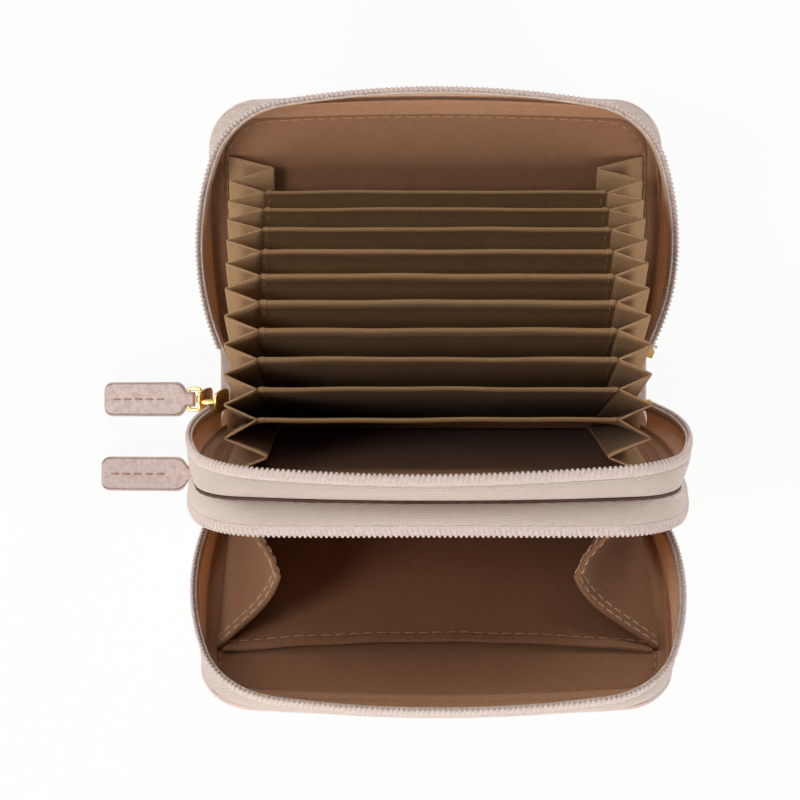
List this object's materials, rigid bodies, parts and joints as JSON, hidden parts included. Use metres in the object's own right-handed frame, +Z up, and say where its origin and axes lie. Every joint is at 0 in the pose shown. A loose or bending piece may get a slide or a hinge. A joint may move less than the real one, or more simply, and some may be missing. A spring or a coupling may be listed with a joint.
{
  "type": "zip wallet",
  "caption": "Zip-around leather wallet with a card accordion and a coin compartment, standing wide open on its spine, with zip sliders and leather pulls.",
  "frame": {"origin": "middle of the spine's underside, on the surface that the open wallet stands on", "axes": "+X along the spine, away from the sliders; +Y towards the card side's cover; +Z up"},
  "size_m": [0.157, 0.1625, 0.0812],
  "materials": {
    "leather": "pebbled blush pink, half matt",
    "zip_tape": "woven, matt",
    "zip_coil": "moulded nylon, slight shine",
    "lining": "tan twill, matt",
    "divider_cloth": "tan twill cloth, matt",
    "board": "grey stiffener, matt",
    "gold_metal": "polished pale gold"
  },
  "bodies": {
    "root": {"spine_leather": "leather", "card_fold": "leather", "coin_fold": "leather", "spine_lining": "lining", "accordion_floor": "lining", "accordion_gusset_left": "lining", "accordion_gusset_right": "lining", "coin_gusset_left": "lining", "coin_gusset_right": "lining"},
    "card_cover": {"card_cover_leather": "leather", "card_cover_board": "board", "card_cover_lining": "lining", "card_cover_tape": "zip_tape", "card_cover_coil": "zip_coil", "card_cover_stop": "gold_metal"},
    "coin_cover": {"coin_cover_leather": "leather", "coin_cover_board": "board", "coin_cover_lining": "lining", "coin_cover_tape": "zip_tape", "coin_cover_coil": "zip_coil", "coin_cover_stop": "gold_metal", "slip_pocket": "lining"},
    "wall": {"wall_board": "board", "card_wall_lining": "lining", "card_wall_tape": "zip_tape", "card_wall_coil": "zip_coil", "card_wall_stop": "gold_metal", "coin_wall_lining": "lining", "coin_wall_tape": "zip_tape", "coin_wall_coil": "zip_coil", "coin_wall_stop": "gold_metal"},
    "card_slider": {"card_slider": "gold_metal"},
    "coin_slider": {"coin_slider": "gold_metal"},
    "card_pull": {"card_pull_ring": "gold_metal", "card_pull_leather": "leather"},
    "coin_pull": {"coin_pull_ring": "gold_metal", "coin_pull_leather": "leather"},
    "divider_01": {"divider_01": "divider_cloth"},
    "divider_02": {"divider_02": "divider_cloth"},
    "divider_03": {"divider_03": "divider_cloth"},
    "divider_04": {"divider_04": "divider_cloth"},
    "divider_05": {"divider_05": "divider_cloth"},
    "divider_06": {"divider_06": "divider_cloth"},
    "divider_07": {"divider_07": "divider_cloth"},
    "divider_08": {"divider_08": "divider_cloth"},
    "divider_09": {"divider_09": "divider_cloth"},
    "divider_10": {"divider_10": "divider_cloth"}
  },
  "joints": [
    {"name": "card_cover_fold", "type": "hinge", "parent": "root", "child": "card_cover", "pos_m": [0, 0.021, 0.0008], "axis": [1, 0, 0], "range_deg": [0, 65.4], "deforming": ["accordion_gusset_left", "accordion_gusset_right"]},
    {"name": "coin_cover_fold", "type": "hinge", "parent": "root", "child": "coin_cover", "pos_m": [0, -0.021, 0.0008], "axis": [-1, 0, 0], "range_deg": [0, 41.5], "deforming": ["coin_gusset_left", "coin_gusset_right"]},
    {"name": "wall_fold", "type": "hinge", "parent": "root", "child": "wall", "pos_m": [0, 0, 0.0027], "axis": [-1, 0, 0], "range_deg": [0, 12.1]},
    {"name": "card_slider_run", "type": "hinge", "parent": "wall", "child": "card_slider", "pos_m": [0.0168, 0.00396, 0.03433], "axis": [0, 0.9778, 0.2096], "range_deg": [0, 38]},
    {"name": "coin_slider_run", "type": "hinge", "parent": "wall", "child": "coin_slider", "pos_m": [0.0168, -0.01658, 0.02993], "axis": [0, 0.9778, 0.2096], "range_deg": [0, 38]},
    {"name": "card_pull_swing", "type": "hinge", "parent": "card_slider", "child": "card_pull", "pos_m": [-0.06351, 0.00901, 0.01076], "axis": [0, 1, 0], "range_deg": [0, 83]},
    {"name": "coin_pull_swing", "type": "hinge", "parent": "coin_slider", "child": "coin_pull", "pos_m": [-0.06351, -0.01152, 0.00636], "axis": [0, 1, 0], "range_deg": [0, 74]},
    {"name": "divider_01_fold", "type": "hinge", "parent": "root", "child": "divider_01", "pos_m": [0, 0.00275, 0.0037], "axis": [1, 0, 0], "range_deg": [0, 1.2]},
    {"name": "divider_02_fold", "type": "hinge", "parent": "root", "child": "divider_02", "pos_m": [0, 0.00431, 0.0037], "axis": [1, 0, 0], "range_deg": [0, 7.55]},
    {"name": "divider_03_fold", "type": "hinge", "parent": "root", "child": "divider_03", "pos_m": [0, 0.00586, 0.0037], "axis": [1, 0, 0], "range_deg": [0, 13.9]},
    {"name": "divider_04_fold", "type": "hinge", "parent": "root", "child": "divider_04", "pos_m": [0, 0.00742, 0.0037], "axis": [1, 0, 0], "range_deg": [0, 20.25]},
    {"name": "divider_05_fold", "type": "hinge", "parent": "root", "child": "divider_05", "pos_m": [0, 0.00897, 0.0037], "axis": [1, 0, 0], "range_deg": [0, 26.6]},
    {"name": "divider_06_fold", "type": "hinge", "parent": "root", "child": "divider_06", "pos_m": [0, 0.01053, 0.0037], "axis": [1, 0, 0], "range_deg": [0, 32.95]},
    {"name": "divider_07_fold", "type": "hinge", "parent": "root", "child": "divider_07", "pos_m": [0, 0.01208, 0.0037], "axis": [1, 0, 0], "range_deg": [0, 39.3]},
    {"name": "divider_08_fold", "type": "hinge", "parent": "root", "child": "divider_08", "pos_m": [0, 0.01364, 0.0037], "axis": [1, 0, 0], "range_deg": [0, 45.65]},
    {"name": "divider_09_fold", "type": "hinge", "parent": "root", "child": "divider_09", "pos_m": [0, 0.01519, 0.0037], "axis": [1, 0, 0], "range_deg": [0, 52]},
    {"name": "divider_10_fold", "type": "hinge", "parent": "root", "child": "divider_10", "pos_m": [0, 0.01675, 0.0037], "axis": [1, 0, 0], "range_deg": [0, 58.35]}
  ],
  "couplings": [
    {"joint": "wall_fold", "follows": "coin_cover_fold", "ratio": 0.29156},
    {"joint": "divider_01_fold", "follows": "card_cover_fold", "ratio": 0.01834},
    {"joint": "divider_02_fold", "follows": "card_cover_fold", "ratio": 0.11544},
    {"joint": "divider_03_fold", "follows": "card_cover_fold", "ratio": 0.21253},
    {"joint": "divider_04_fold", "follows": "card_cover_fold", "ratio": 0.30963},
    {"joint": "divider_05_fold", "follows": "card_cover_fold", "ratio": 0.40672},
    {"joint": "divider_06_fold", "follows": "card_cover_fold", "ratio": 0.50382},
    {"joint": "divider_07_fold", "follows": "card_cover_fold", "ratio": 0.60091},
    {"joint": "divider_08_fold", "follows": "card_cover_fold", "ratio": 0.69801},
    {"joint": "divider_09_fold", "follows": "card_cover_fold", "ratio": 0.7951},
    {"joint": "divider_10_fold", "follows": "card_cover_fold", "ratio": 0.8922}
  ]
}
